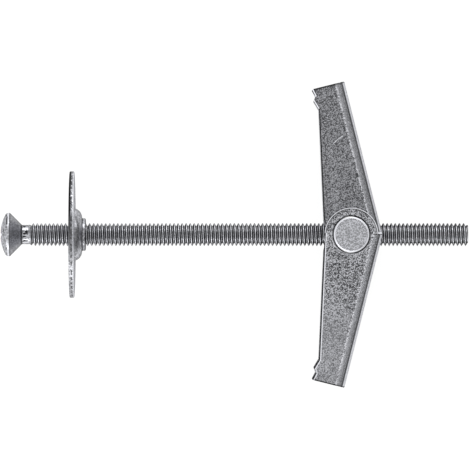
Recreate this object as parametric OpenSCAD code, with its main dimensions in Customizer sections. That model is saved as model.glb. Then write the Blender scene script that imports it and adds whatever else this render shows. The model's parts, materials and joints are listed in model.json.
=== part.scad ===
// Spring toggle bolt for hollow walls and ceilings.
// Every piece is drawn in the bolt's own frame: X runs along the screw towards its free end,
// Z is the pivot axis of the wings, and the two axes cross at the origin.
// lying() then sets the whole bolt down on its washer and its nut, as it rests on a table.

/* [Screw] */
// Length from the rim plane of the head to the free end
screw_length = 80; // [70:1:110]
// Outer diameter of the metric thread
thread_d = 3.95; // [3.6:0.05:4]
// Pitch of the thread
thread_pitch = 0.7; // [0.5:0.05:0.8]
// Diameter of the plain neck under the head
neck_d = 3.35; // [3:0.05:3.5]
// Length of the plain neck
neck_length = 1.45; // [1:0.05:3]
// Diameter of the raised countersunk head
head_d = 7.55; // [7:0.05:7.7]
// Width of the straight rim between dome and cone
rim_width = 0.27; // [0.15:0.01:0.4]
// Height of the dome over the rim
dome_height = 1.4; // [1.3:0.05:1.7]
// Radius that rounds the dome into the rim
dome_edge_r = 0.6; // [0.5:0.05:0.9]
// Chamfer at the free end
end_chamfer = 0.4; // [0.2:0.05:0.6]

/* [Drive] */
// Width of the driver slot
slot_width = 1; // [0.8:0.05:1.2]
// Depth of the slot under the top of the dome
slot_depth = 1.1; // [0.8:0.05:1.3]
// Turn of the slot round the screw, from the plane of the wings
slot_turn = 14; // [-45:1:45]
// Diameter over the wings of the cross recess
cross_d = 4.4; // [3.6:0.1:4.8]
// Width of each wing of the cross recess
cross_width = 0.9; // [0.7:0.05:1.1]
// Depth of the cross recess under the top of the dome
cross_depth = 2.3; // [1.8:0.1:2.6]

/* [Washer] */
// Diameter of the washer
washer_d = 22; // [18:0.5:26]
// Sheet thickness of the washer
washer_t = 0.8; // [0.6:0.05:1.2]
// Distance that the washer has slid down from its seat under the head
washer_drop = 10.55; // [5:0.05:14]
// Radial margin of the countersunk seat round the head
seat_margin = 0.15; // [0.05:0.05:0.3]
// Diameter of the pressed boss on the wall side
boss_d = 9.2; // [8.8:0.1:10.5]
// Height of the boss over the flat of the washer
boss_height = 1.35; // [1.1:0.05:1.5]
// Radius of the boss shoulder
boss_shoulder = 1.65; // [1.3:0.05:1.7]
// Wall of the collar that ends the boss
collar_wall = 0.65; // [0.4:0.05:0.8]
// Height of the collar over the flat of the washer
collar_height = 2; // [1.7:0.05:2.3]

/* [Trunnion nut] */
// Distance from the rim plane of the head to the pivot axis
pivot_from_rim = 59.65; // [52:0.05:62]
// Diameter of the round nut that the wings turn on
nut_d = 6.15; // [5.8:0.05:6.4]
// How far each end of the nut stands out of the ears
nut_proud = 0.3; // [0.3:0.05:0.8]
// Rounding of the nut's end edges
nut_edge_r = 0.3; // [0.1:0.05:0.4]
// Countersink at each mouth of the tapped cross hole
nut_mouth = 0.3; // [0.1:0.05:0.4]

/* [Wings] */
// Length from the pivot to the tip of a wing
wing_length = 26.1; // [24:0.1:32]
// Thickness of the wing sheet
wing_t = 0.8; // [0.7:0.05:0.85]
// Outside width of each folded wing
wing_width = 9.5; // [9.4:0.05:10]
// Distance from the pivot to the outside of the back web
wing_back = 5.25; // [5.2:0.05:5.6]
// Radius of the large ear, the one that laps outside the other wing
ear_r = 4.65; // [4.4:0.05:5]
// Outside radius of the bends
bend_r = 1.55; // [1.3:0.05:1.6]
// Lean of each open wing towards the head
wing_lean = 14; // [8:0.5:20]
// Taper of the front edge
wing_taper = 11.4; // [9:0.1:12]
// Distance between the two tooth points at a tip
tooth_pitch = 2.05; // [1.8:0.05:2.4]
// Depth of the notch between the two teeth
tooth_depth = 0.5; // [0.3:0.05:0.7]

/* [Spring] */
// Diameter of the spring wire
wire_d = 0.5; // [0.4:0.05:0.5]
// Length of each straight leg
leg_length = 10; // [6:0.5:14]

/* [Clearances] */
// Radial clearance of the screw in the tapped hole
thread_clear = 0.05; // [0.03:0.01:0.08]
// Radial clearance of the screw in the washer
washer_clear = 0.2; // [0.15:0.05:0.3]
// Gap between the thread and the notch in each wing's web
notch_clear = 0.625; // [0.5:0.025:0.8]
// Radial clearance of the nut in the ears
pivot_clear = 0.08; // [0.04:0.01:0.1]
// Gap between one wing and the other where they lap
lap_clear = 0.1; // [0.06:0.01:0.12]
// Radial gap between the nut and the coils round it
coil_clear = 0.525; // [0.4:0.025:0.55]
// Gap between the wire and what it passes or presses on
wire_clear = 0.05; // [0.03:0.01:0.06]

/* [Hidden] */
$fn = 96;

// Reach of a cutting shape past what it cuts
over = 1;
// More than the largest measure of the bolt
far = 60;
// A vector's direction, one long
function unit(v) = v / norm(v);

// Screw stations along X
rim_x = -pivot_from_rim;
cone_x = rim_x + rim_width;
neck_x = cone_x + (head_d - neck_d) / 2;
thread_x = neck_x + neck_length;
end_x = rim_x + screw_length;
apex_x = rim_x - dome_height;

// The thread is ring grooves with the pitch, depth and flanks of the rolled thread, without its helix
root_d = thread_d - 2 * 0.61 * thread_pitch;
crest_flat = thread_pitch / 8;
root_flat = thread_pitch / 4;
first_crest_x = thread_x + (thread_d - neck_d) / 2;
groove_count = floor((end_x - end_chamfer - first_crest_x) / thread_pitch);

// The dome is one large arc from the axis, run into the rim by a small one
edge_r_at = head_d / 2 - dome_edge_r;
arc_lap = 0.004;
dome_r = (pow(edge_r_at, 2) + pow(dome_height, 2) - pow(dome_edge_r, 2)) / (2 * (dome_height - dome_edge_r));

// Washer stations along X: the seat is a cone of 90 degrees, as the head is
seat_d = head_d + 2 * seat_margin;
seated_x = cone_x - seat_margin;
washer_x = seated_x + washer_drop;
washer_face_x = washer_x + washer_t;
washer_bore = thread_d + 2 * washer_clear;
collar_d = washer_bore + 2 * collar_wall;

// The two wings lap: each is set to one side by half a sheet and half the gap
lap_shift = (wing_t + lap_clear) / 2;
// The nut reaches through both pairs of ears
nut_length = wing_width + 2 * lap_shift + 2 * nut_proud;
// The panels are flat up to the bend, and the small ear turns inside the bend of the other wing
flat_x = wing_back - bend_r;
bend_in_r = bend_r - wing_t;
small_ear_r = flat_x + sqrt(pow(bend_in_r, 2) - pow(bend_in_r - lap_clear, 2)) - lap_clear;
notch_r = thread_d / 2 + notch_clear;
// Tooth form: lengths along the tip in tooth pitches, depth of the tip corner in tooth depths
foot_share = 0.8;
notch_share = 0.36;
corner_share = 0.6;

// Spring: the coils lie on both sides of the screw and a bridge over the nut joins them
coil_r = nut_d / 2 + coil_clear + wire_d / 2;
coil_gap = 0.01;
coil_pitch = wire_d + coil_gap;
coil_in_z = thread_d / 2 + wire_d / 2 + wire_clear;
leg_reach = wing_back - wing_t - wire_d / 2 - wire_clear;
leg_splay = atan2(leg_length, coil_r) - acos(leg_reach / norm([coil_r, leg_length]));
leg_turn = wing_lean - leg_splay;
// Angle over which the bridge crosses the screw
bridge_turn = 80;
near_turns = leg_turn - 90 + 720 - bridge_turn / 2;
far_turns = 3 * 360 + 2 * leg_turn - near_turns - bridge_turn;
near_z = coil_in_z + coil_pitch * near_turns / 360;
far_z = coil_in_z + coil_pitch * far_turns / 360;

// At rest the washer's rim and the edge of the nut's lower end both touch the table
washer_low = [washer_face_x, washer_d / 2];
nut_low = [nut_d / 2 - nut_edge_r, nut_length / 2 - nut_edge_r];
rest_span = [nut_low.x - washer_low.x, washer_low.y - nut_low.y];
rest_tilt = atan2(rest_span.y, rest_span.x) - asin(nut_edge_r / norm(rest_span));
rest_lift = washer_low.y * cos(rest_tilt) + washer_low.x * sin(rest_tilt);
// The origin lies midway between the dome's outermost point and the free end
low_x = (apex_x + dome_r) * cos(rest_tilt) - dome_r;
high_x = end_x * cos(rest_tilt) + (thread_d / 2 - end_chamfer) * sin(rest_tilt);

// Sets the bolt down on the table, head side up on the washer
module lying() {
    translate([-(low_x + high_x) / 2, 0, rest_lift])
        rotate([0, rest_tilt, 0])
            children();
}

// Turns a profile drawn as [radius, station] round the X axis
module turned() {
    rotate([0, 90, 0])
        rotate_extrude()
            children();
}

// ---- Screw ----

// Half section of the dome over the rim plane; its two arcs lap by a hair, so that they cross cleanly
module dome_profile() {
    arc_centre = rim_x - dome_height + dome_r;
    arc_end = dome_r * unit([edge_r_at, rim_x - arc_centre]);
    intersection() {
        translate([0, arc_centre])
            circle(dome_r);
        polygon([
            [0, apex_x - over],
            [over, apex_x - over],
            [arc_end.x, arc_centre + arc_end.y] + over * unit(arc_end),
            [edge_r_at, rim_x],
            [0, arc_centre]
        ]);
    }
    intersection() {
        translate([edge_r_at - arc_lap, rim_x])
            circle(dome_edge_r + arc_lap);
        translate([0, apex_x])
            square([head_d, dome_height]);
    }
}

// Half section of one groove, from the middle of one crest to the middle of the next
function groove(x) =
    let (middle = x + thread_pitch / 2)
    [[thread_d / 2, x + crest_flat / 2],
     [root_d / 2, middle - root_flat / 2],
     [root_d / 2, middle + root_flat / 2],
     [thread_d / 2, x + thread_pitch - crest_flat / 2]];

// Half section from the rim to the free end
module shank_profile() {
    polygon(concat(
        [
            [0, rim_x],
            [head_d / 2, rim_x],
            [head_d / 2, cone_x],
            [neck_d / 2, neck_x],
            [neck_d / 2, thread_x],
            [thread_d / 2, first_crest_x]
        ],
        [for (i = [0 : groove_count - 1]) each groove(first_crest_x + i * thread_pitch)],
        [
            [thread_d / 2, end_x - end_chamfer],
            [thread_d / 2 - end_chamfer, end_x],
            [0, end_x]
        ]
    ));
}

// Slot and cross recess, cut from the top of the dome
module drive() {
    translate([apex_x, 0, 0])
        rotate([slot_turn, 0, 0]) {
            translate([-over, -head_d, -slot_width / 2])
                cube([over + slot_depth, 2 * head_d, slot_width]);
            intersection() {
                rotate([0, 90, 0])
                    cylinder(h = cross_depth, d1 = cross_d, d2 = cross_width);
                union() {
                    for (turn = [0, 90])
                        rotate([turn, 0, 0])
                            translate([-over, -cross_d, -cross_width / 2])
                                cube([over + cross_depth, 2 * cross_d, cross_width]);
                }
            }
        }
}

module screw() {
    color("silver")
        lying()
            difference() {
                turned() {
                    dome_profile();
                    shank_profile();
                }
                drive();
            }
}

// ---- Washer ----

// Outline of the boss over the washer's head side: a flat middle, a round shoulder and the collar
module boss_profile() {
    shoulder = [boss_d / 2 - boss_shoulder, washer_face_x + boss_height - boss_shoulder];
    intersection() {
        translate(shoulder)
            circle(boss_shoulder);
        translate([0, washer_x])
            square(boss_d);
    }
    translate([0, washer_x])
        square([shoulder.x, washer_t + boss_height]);
    translate([0, washer_x])
        square([collar_d / 2, washer_t + collar_height]);
}

module washer() {
    color("lightgray")
        lying()
            turned()
                difference() {
                    union() {
                        translate([0, washer_x])
                            square([washer_d / 2, washer_t]);
                        boss_profile();
                    }
                    translate([0, washer_x - over])
                        square([washer_bore / 2, over + washer_t + collar_height + over]);
                    polygon([
                        [0, washer_x - over],
                        [seat_d / 2 + over, washer_x - over],
                        [0, washer_x + seat_d / 2]
                    ]);
                }
}

// ---- Trunnion nut ----

// Half section of the nut, drawn as [radius, height along the pivot]
module nut_profile() {
    flat = [nut_d / 2 - nut_edge_r, nut_length / 2 - nut_edge_r];
    translate([0, -flat.y])
        square([nut_d / 2, 2 * flat.y]);
    translate([0, -nut_length / 2])
        square([flat.x, nut_length]);
    for (end = [-1, 1])
        translate([flat.x, end * flat.y])
            circle(nut_edge_r);
}

module trunnion_nut() {
    hole_r = thread_d / 2 + thread_clear;
    color("gainsboro")
        lying()
            difference() {
                rotate_extrude()
                    nut_profile();
                rotate([0, 90, 0])
                    cylinder(h = nut_d + 2 * over, r = hole_r, center = true);
                for (side = [-1, 1])
                    rotate([0, side * 90, 0])
                        translate([0, 0, nut_d / 2 - nut_mouth])
                            cylinder(h = over, r1 = hole_r, r2 = hole_r + over);
            }
}

// ---- Wings ----
// A wing is drawn upright: X points to its back web, Y runs along it from the pivot, Z is the pivot.

// Line on which the web ends, in the plane through the pivot and the screw: the other web stops it there
stop_line = [for (x = [flat_x, wing_back + over]) [x, (lap_clear / 2 - x * sin(wing_lean)) / cos(wing_lean)]];

// Outline of a side panel from the stop to the tip; its front edge is a tangent to the large ear
module panel_outline(ear) {
    edge = [-cos(wing_taper), sin(wing_taper)];
    // Stations along the wing: the first tooth's foot and point, the notch and the tip
    tip_y = wing_length;
    tooth_y = tip_y - tooth_pitch;
    foot_y = tooth_y - foot_share * tooth_pitch;
    notch_y = tooth_y + notch_share * tooth_pitch;
    foot_x = (ear_r - foot_y * edge.y) / edge.x;
    // The panel with the small ear keeps inside its width, because the other wing's bend passes there
    front = ear < ear_r ? [[-ear, (ear_r + ear * edge.x) / edge.y], [-ear, 0]] : [ear_r * edge];
    polygon(concat(
        stop_line,
        [
            [wing_back + over, tip_y],
            [foot_x - corner_share * tooth_depth, tip_y],
            [foot_x, notch_y],
            [foot_x - tooth_depth, tooth_y],
            [foot_x, foot_y]
        ],
        front
    ));
}

// Outline of a flat ear: beyond the flat of the panel it keeps below the stop, where no web is bent
module ear_outline(ear) {
    difference() {
        circle(ear);
        polygon(concat(stop_line, [[wing_back + over, far], [flat_x, far]]));
    }
}

// Section across a wing: a channel with round bends, open at the front
module channel_section(back, half_width, corner_r) {
    translate([-far, -half_width])
        square([far + back - corner_r, 2 * half_width]);
    translate([-far, corner_r - half_width])
        square([far + back, 2 * (half_width - corner_r)]);
    for (side = [-1, 1])
        translate([back - corner_r, side * (half_width - corner_r)])
            circle(corner_r);
}

// Long channel that the wing is cut from
module channel() {
    translate([0, far, 0])
        rotate([90, 0, 0])
            linear_extrude(2 * far)
                difference() {
                    channel_section(wing_back, wing_width / 2, bend_r);
                    channel_section(wing_back - wing_t, wing_width / 2 - wing_t, bend_in_r);
                }
}

// Half of a wing, from its middle to +Z, with an ear of the given radius
module wing_half(ear) {
    intersection() {
        channel();
        linear_extrude(wing_width)
            panel_outline(ear);
    }
    translate([0, 0, wing_width / 2 - wing_t])
        linear_extrude(wing_t)
            ear_outline(ear);
}

// One wing, leaning towards the head from the upright; its large ear is on the -Z side
module wing() {
    rotate([0, 0, wing_lean])
        translate([0, 0, -lap_shift])
            difference() {
                union() {
                    wing_half(small_ear_r);
                    mirror([0, 0, 1])
                        wing_half(ear_r);
                }
                cylinder(h = 2 * wing_width, d = nut_d + 2 * pivot_clear, center = true);
                translate([0, 0, lap_shift])
                    screw_notch();
            }
}

// Round-ended notch through the web, round the screw of an open wing
module screw_notch() {
    axis_y = -(wing_back - wing_t) * tan(wing_lean);
    translate([0, axis_y, 0]) {
        rotate([0, 90, 0])
            cylinder(h = far, r = notch_r);
        translate([0, -far, -notch_r])
            cube([far, far, 2 * notch_r]);
    }
}

module upper_wing() {
    color("darkgray")
        lying()
            wing();
}

// The same pressing turned half a turn about the screw
module lower_wing() {
    color("darkgray")
        lying()
            rotate([180, 0, 0])
                wing();
}

// ---- Spring ----

// Each leg lies on the large-ear side of its wing, where the channel is wider: the upper leg below
// the screw and the lower leg above it. Height of the wire over a winding angle, from the upper leg:
// near coils, bridge over the nut, far coils
function coil_z(turn) =
    turn < near_turns ? coil_pitch * turn / 360 - near_z
    : turn > near_turns + bridge_turn ? coil_in_z + coil_pitch * (turn - near_turns - bridge_turn) / 360
    : -coil_in_z * cos(180 * (turn - near_turns) / bridge_turn);

// Point of the wire on the coils, and at the tip of a leg that leaves them at a tangent
function coil_point(turn) =
    [coil_r * cos(leg_turn - turn), coil_r * sin(leg_turn - turn), coil_z(turn)];
function leg_tip(side) =
    [coil_r * cos(leg_turn) - leg_length * sin(leg_turn),
     side * (coil_r * sin(leg_turn) + leg_length * cos(leg_turn)),
     side > 0 ? -near_z : far_z];

// Ring of the wire's surface round one point of its path
function wire_ring(p, along, sides) =
    let (across = unit(cross([0, 0, 1], along)), up = cross(along, across))
    [for (i = [0 : sides - 1])
        p + wire_d / 2 * (cos(360 * i / sides) * across + sin(360 * i / sides) * up)];

module spring() {
    sides = 10;
    step = 15;
    winding = near_turns + bridge_turn + far_turns;
    steps = ceil(winding / step);
    path = concat(
        [leg_tip(1)],
        [for (i = [0 : steps]) coil_point(winding * i / steps)],
        [leg_tip(-1)]
    );
    last = len(path) - 1;
    rings = [for (i = [0 : last])
        wire_ring(path[i], unit(path[min(i + 1, last)] - path[max(i - 1, 0)]), sides)];
    walls = [for (i = [0 : last - 1], k = [0 : sides - 1])
        let (n = (k + 1) % sides)
        [i * sides + k, i * sides + n, (i + 1) * sides + n, (i + 1) * sides + k]];
    caps = [
        [for (k = [sides - 1 : -1 : 0]) k],
        [for (k = [0 : sides - 1]) last * sides + k]
    ];
    color("dimgray")
        lying()
            polyhedron(points = [for (ring = rings) each ring], faces = concat(walls, caps), convexity = 8);
}

screw();
washer();
trunnion_nut();
upper_wing();
lower_wing();
spring();
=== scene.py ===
# %% [markdown]
# # A spring toggle bolt, dressed for the camera
# The bolt fixes things to hollow walls. A machine screw carries a countersunk washer under its head and
# a round nut near its other end. Two pressed wings turn on the nut, and a small wire spring opens them
# once they are through the hole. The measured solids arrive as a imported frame. This script keeps their
# places and sizes, gives each one its fine shape and its zinc finish, and sets up table, light and camera.

# %% Load the frame
import json
import math

import bmesh
import bpy
from mathutils import Matrix, Vector


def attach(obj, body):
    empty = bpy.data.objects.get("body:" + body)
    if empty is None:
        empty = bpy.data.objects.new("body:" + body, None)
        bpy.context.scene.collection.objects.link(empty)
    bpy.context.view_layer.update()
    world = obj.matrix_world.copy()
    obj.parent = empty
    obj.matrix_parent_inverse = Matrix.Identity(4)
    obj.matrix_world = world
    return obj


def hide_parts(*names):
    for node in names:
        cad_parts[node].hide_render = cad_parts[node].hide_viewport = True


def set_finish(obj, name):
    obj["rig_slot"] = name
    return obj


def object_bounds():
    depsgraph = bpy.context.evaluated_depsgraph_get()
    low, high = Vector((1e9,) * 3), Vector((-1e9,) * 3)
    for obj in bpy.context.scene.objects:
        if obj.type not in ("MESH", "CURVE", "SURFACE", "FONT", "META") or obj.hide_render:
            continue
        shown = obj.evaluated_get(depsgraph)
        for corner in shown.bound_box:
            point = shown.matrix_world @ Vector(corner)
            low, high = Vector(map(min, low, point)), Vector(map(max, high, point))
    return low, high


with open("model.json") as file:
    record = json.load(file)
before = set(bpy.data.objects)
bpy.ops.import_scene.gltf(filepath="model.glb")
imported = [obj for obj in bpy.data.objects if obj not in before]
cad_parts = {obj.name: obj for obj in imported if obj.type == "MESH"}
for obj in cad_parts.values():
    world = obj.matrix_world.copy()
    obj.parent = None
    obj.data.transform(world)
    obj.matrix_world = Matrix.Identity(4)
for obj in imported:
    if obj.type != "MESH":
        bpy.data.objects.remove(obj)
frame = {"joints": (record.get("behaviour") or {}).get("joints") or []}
cad_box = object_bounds()

# %% [markdown]
# ## The bolt's own axes
# The bolt lies tilted: the washer's rim holds its head side up. It is easier to think along the screw, so
# every piece is drawn in millimetres with X along the screw towards its free end, Z along the pivot of the
# wings, and the two crossing at the origin. The frame's joints say where those axes lie on the table, and
# one matrix takes a finished mesh there.

# %% Axes and the matrix that lays the bolt down
joints = {joint["name"]: joint for joint in frame["joints"]}
pivot = Vector(joints["upper_wing_fold"]["pos_m"])
along_screw = Vector(joints["nut_travel"]["axis"]).normalized()
along_pivot = Vector(joints["upper_wing_fold"]["axis"]).normalized()
across = along_pivot.cross(along_screw)
axes = Matrix((along_screw, across, along_pivot)).transposed().to_4x4()
MM = 0.001
lying = Matrix.Translation(pivot) @ axes @ Matrix.Scale(MM, 4)
print(f"pivot at {pivot}, screw tilted by {math.degrees(math.asin(-along_screw.z)):.2f} degrees")

# %% [markdown]
# ## Two helpers for turned parts
# A lathe part is a half section spun round the screw. Real edges are never perfectly sharp, so the first
# helper rounds the corners of a section with small arcs. The second spins the section into rings of quads.
# A Screw modifier on a curve would spin it as well, but with rings made here the script knows every point,
# and can join another skin to them.

# %% Rounded sections and spinning
# A length in millimetres that counts as nothing.
TINY = 1e-4


def circle_points(radius, sides):
    """Corners of a regular polygon on a circle."""
    turns = [2 * math.pi * k / sides for k in range(sides)]
    return [(radius * math.cos(t), radius * math.sin(t)) for t in turns]


def rounded(corners, steps=4):
    """Points (radius, station) of a section; its corners (radius, station, rounding) become arcs."""
    points = []
    for i, (r, x, size) in enumerate(corners):
        here = Vector((r, x))
        if not size:
            points.append(here)
            continue
        back = (Vector(corners[i - 1][:2]) - here).normalized()
        on = (Vector(corners[(i + 1) % len(corners)][:2]) - here).normalized()
        half = back.angle(on) / 2
        centre = here + (back + on).normalized() * size / math.sin(half)
        start, end = here + back * size / math.tan(half), here + on * size / math.tan(half)
        for k in range(steps + 1):
            spoke = (start - centre).normalized().slerp((end - centre).normalized(), k / steps)
            points.append(centre + size * spoke)
    return points


def spun(bm, section, sides, closed=False):
    """Adds rings of quads round X for a section of (radius, station), and returns the rings."""
    rings = []
    for r, x in section:
        if r < TINY:
            rings.append([bm.verts.new((x, 0, 0))] * sides)
        else:
            rings.append([bm.verts.new((x, y, z)) for y, z in circle_points(r, sides)])
    for a, b in zip(rings, rings[1:] + rings[:1] if closed else rings[1:]):
        for k in range(sides):
            n = (k + 1) % sides
            corners = list(dict.fromkeys([a[k], a[n], b[n], b[k]]))
            if len(corners) > 2:
                bm.faces.new(corners)
    return rings


# %% [markdown]
# ## One way in for every piece
# Each finished mesh becomes an object that rides on a body of the frame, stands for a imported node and
# names the material slot that it takes its finish from. The mesh also remembers where each of its points
# was drawn, in millimetres. Finishes use that place, so they stick to the metal and keep their true scale.
# Normals are weighted by face area, so that large faces stay flat up to their rounded edges.

# %% From a mesh in millimetres to a piece on the table
def bare_object(name, bm):
    """An object as drawn, in millimetres; it uses up the bmesh."""
    bmesh.ops.recalc_face_normals(bm, faces=bm.faces)
    mesh = bpy.data.meshes.new(name)
    bm.to_mesh(mesh)
    bm.free()
    made = bpy.data.objects.new(name, mesh)
    bpy.context.scene.collection.objects.link(made)
    return made


def smooth_object(name, bm, stand=Matrix.Identity(4)):
    """An object in the row frame; stand is the turn from the piece's own drawing to the bolt's axes."""
    made = bare_object(name, bm)
    drawn = made.data.attributes.new("drawn", "FLOAT_VECTOR", "POINT")
    drawn.data.foreach_set("vector", [c for v in made.data.vertices for c in v.co])
    made.data.transform(lying @ stand)
    made.data.shade_smooth()
    weighted = made.modifiers.new("flat faces stay flat", "WEIGHTED_NORMAL")
    weighted.weight = 100
    return made


def as_piece(made, body, slot, node):
    """Lets a piece ride on a body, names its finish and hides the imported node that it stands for."""
    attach(made, body)
    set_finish(made, slot)
    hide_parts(node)
    print(f"{made.name}: {len(made.data.polygons)} faces on {body}")
    return made


# %% [markdown]
# ## Cutting tools
# Slots, holes and notches are cut out of a closed mesh with Boolean modifiers, as a milling cutter or a
# punch would do. The cutters are simple closed shapes: a prism with any outline, and a round bar.

# %% Prisms, round bars and Booleans
def prism(outline, low, high):
    """A prism along Z with an outline of (x, y) points."""
    bm = bmesh.new()
    floor, roof = [[bm.verts.new((x, y, z)) for x, y in outline] for z in (low, high)]
    bm.faces.new(floor)
    bm.faces.new(roof)
    for k in range(len(outline)):
        n = (k + 1) % len(outline)
        bm.faces.new((floor[k], floor[n], roof[n], roof[k]))
    return bm


def moved(bm, matrix):
    bmesh.ops.transform(bm, matrix=matrix, verts=bm.verts)
    return bm


def carved(base, cutters):
    """Cuts meshes out of another one by Boolean modifiers and returns the result as a new mesh."""
    body = bare_object("blank", base)
    tools = [bare_object("cutter", cutter) for cutter in cutters]
    for tool in tools:
        cut = body.modifiers.new("cut", "BOOLEAN")
        cut.object, cut.operation, cut.solver = tool, "DIFFERENCE", "EXACT"
    result = bmesh.new()
    result.from_object(body, bpy.context.evaluated_depsgraph_get())
    for gone in [body, *tools]:
        bpy.data.meshes.remove(gone.data)
    return result


# %% [markdown]
# No edge of a real part is perfectly sharp, and light catches on the small rounding. A bevel is set on the
# edges at which the mesh turns by more than 30 degrees, leaving out those that a piece wants to keep.

# %% Broken edges
SHARP_FROM = 30


def broken_edges(bm, width, segments, chosen):
    """Rounds the sharp ones of the chosen edges, and returns how many there were."""
    sharp = [
        e for e in bm.edges
        if len(e.link_faces) == 2 and math.degrees(e.calc_face_angle(0)) > SHARP_FROM and chosen(e)
    ]
    bmesh.ops.bevel(bm, geom=sharp, offset=width, segments=segments, affect="EDGES", profile=0.5)
    return len(sharp)


# %% [markdown]
# ## Screw: the head
# The head is a raised countersunk one: a low dome, a narrow rim and a cone of 90 degrees that runs down to
# a plain neck. It is spun from one section: an arc for the dome, a smaller one that rounds it into the rim,
# and a rounded polyline for the cone. The slot and the cross recess are struck into the dome, so they are
# cut with a Boolean while the head is still a small closed solid, and their edges get a fine bevel.

# %% Head section
SCREW_SIDES, DOME_STEPS, EDGE_STEPS = 64, 14, 8
rim_x, cone_x, neck_x, thread_x, end_x = -59.65, -59.38, -57.28, -56.18, 20.35
head_r, neck_r, crest_r, root_r = 3.775, 1.675, 1.975, 1.51
dome_height, dome_edge = 1.4, 0.6
edge_at = head_r - dome_edge
dome_r = (edge_at**2 + dome_height**2 - dome_edge**2) / (2 * (dome_height - dome_edge))
dome_centre = rim_x - dome_height + dome_r
meet = math.atan2(edge_at, dome_centre - rim_x)
dome = []
for k in range(DOME_STEPS + 1):
    turn = meet * k / DOME_STEPS
    dome.append((dome_r * math.sin(turn), dome_centre - dome_r * math.cos(turn)))
for k in range(1, EDGE_STEPS + 1):
    turn = meet + (math.pi / 2 - meet) * k / EDGE_STEPS
    dome.append((edge_at + dome_edge * math.sin(turn), rim_x - dome_edge * math.cos(turn)))
under = [(head_r, rim_x, 0), (head_r, cone_x, 0.05), (neck_r, neck_x, 0.12), (neck_r, thread_x, 0)]
under = rounded(under)[1:]
print(f"dome of radius {dome_r:.2f} mm, head section of {len(dome) + len(under)} points")

# %% Slot and cross recess as cutters
SLOT_TURN = math.radians(14)
slot_width, slot_depth, cross_width, cross_depth, cross_r = 1.0, 1.1, 0.9, 2.3, 2.2
apex_x = rim_x - dome_height
outside_x = apex_x - 1


def cross_bar(turn):
    """One bar of the cross recess: as wide as the driver's blade, narrowing towards its bottom."""
    bottom, foot = apex_x + cross_depth, cross_width / 2
    spread = cross_r + (cross_r - foot) / cross_depth
    outline = [(outside_x, -spread), (bottom, -foot), (bottom, foot), (outside_x, spread)]
    return moved(prism(outline, -foot, foot), Matrix.Rotation(turn + SLOT_TURN, 4, "X"))


long_way = 2 * head_r
slot_ends = [(outside_x, -long_way), (apex_x + slot_depth, -long_way)]
slot_ends += [(x, long_way) for x, y in reversed(slot_ends)]
slot_bar = moved(prism(slot_ends, -slot_width / 2, slot_width / 2), Matrix.Rotation(SLOT_TURN, 4, "X"))
recess = [slot_bar, cross_bar(0), cross_bar(math.pi / 2)]
print(f"{len(recess)} cutters for the driver recess")

# %% Cut the head and break its edges
def of_the_recess(edge):
    """The edges on the dome; the rim keeps the rounding that it was spun with."""
    return all(v.co.x < rim_x - 0.05 for v in edge.verts)


head_bm = bmesh.new()
rings = spun(head_bm, dome + under, SCREW_SIDES)
head_bm.faces.new(rings[-1])
head_bm = carved(head_bm, recess)
bmesh.ops.dissolve_degenerate(head_bm, dist=TINY, edges=head_bm.edges)
print("sharp edges on the head:", broken_edges(head_bm, 0.05, segments=2, chosen=of_the_recess))

# %% [markdown]
# ## Screw: the thread
# The thread is rolled, a metric one of 0.7 mm pitch, so its crests and roots are slightly rounded. It could
# be faked with a bump texture, but its outline would then be straight. Here the thread's section walks
# along a helix: every step round the screw moves the section forward, and the last point of one turn is
# joined to the first point of the next, so the whole thread is one clean skin. It grows out of the neck over
# little more than a turn, and a chamfer takes it down at the free end.

# %% Thread skin
PITCH, PHASE, RUN_OUT, END_CHAMFER = 0.7, 0.75, 0.9, 0.4
end_r = root_r - 0.05
# Points nearer to each other than this, in millimetres, become one.
THREAD_WELD, NECK_WELD = 1e-3, 2e-3
# One ridge from root to root: the way forward, and the share of the height from root to crest.
thread_section = [
    (0.0, 0.0), (0.06, 0.01), (0.10, 0.10), (0.27, 0.90), (0.30, 0.985),
    (0.35, 1.0), (0.40, 0.985), (0.43, 0.90), (0.60, 0.10), (0.64, 0.01),
]


def thread_point(turn, k):
    """Point of the thread's skin after some turns, for point k of its section, held between both ends."""
    forward, height = thread_section[k]
    x = thread_x - PITCH + turn * PITCH + forward
    radius = root_r + (crest_r - root_r) * height
    grown = min(1, max(0, (x - thread_x) / RUN_OUT))
    grown = grown * grown * (3 - 2 * grown)
    radius = neck_r + (radius - neck_r) * grown
    radius = min(radius, crest_r - (x - (end_x - END_CHAMFER)))
    if x >= end_x:
        x, radius = end_x, end_r
    if x <= thread_x:
        x, radius = thread_x, neck_r
    angle = 2 * math.pi * (turn - PHASE)
    return x, radius * math.cos(angle), radius * math.sin(angle)


def thread_skin(bm):
    """Joins each point of the section to the next one and to its neighbour a step further round.

    It starts a turn before the thread and runs on past its end, so that both ends are full rings.
    """
    count = len(thread_section)
    steps = math.ceil((end_x - thread_x) / PITCH + 2) * SCREW_SIDES
    turns = [i / SCREW_SIDES for i in range(steps + SCREW_SIDES + 1)]
    rows = [[bm.verts.new(thread_point(turn, k)) for k in range(count)] for turn in turns]
    for i in range(steps):
        for k in range(count):
            ahead = i + SCREW_SIDES if k == count - 1 else i
            n = (k + 1) % count
            bm.faces.new((rows[i][k], rows[i + 1][k], rows[ahead + 1][n], rows[ahead][n]))


screw_bm = bmesh.new()
thread_skin(screw_bm)
bmesh.ops.remove_doubles(screw_bm, verts=screw_bm.verts, dist=THREAD_WELD)
bmesh.ops.dissolve_degenerate(screw_bm, dist=TINY, edges=screw_bm.edges)
loose = [v for v in screw_bm.verts if not v.link_faces]
bmesh.ops.delete(screw_bm, geom=loose, context="VERTS")
print(f"thread skin: {len(screw_bm.faces)} faces")

# %% [markdown]
# The head and the thread are joined where the neck ends: the head's end cap comes off, both rims have the
# same points, and merging them leaves one skin. The free end is closed with a flat face.

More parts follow.
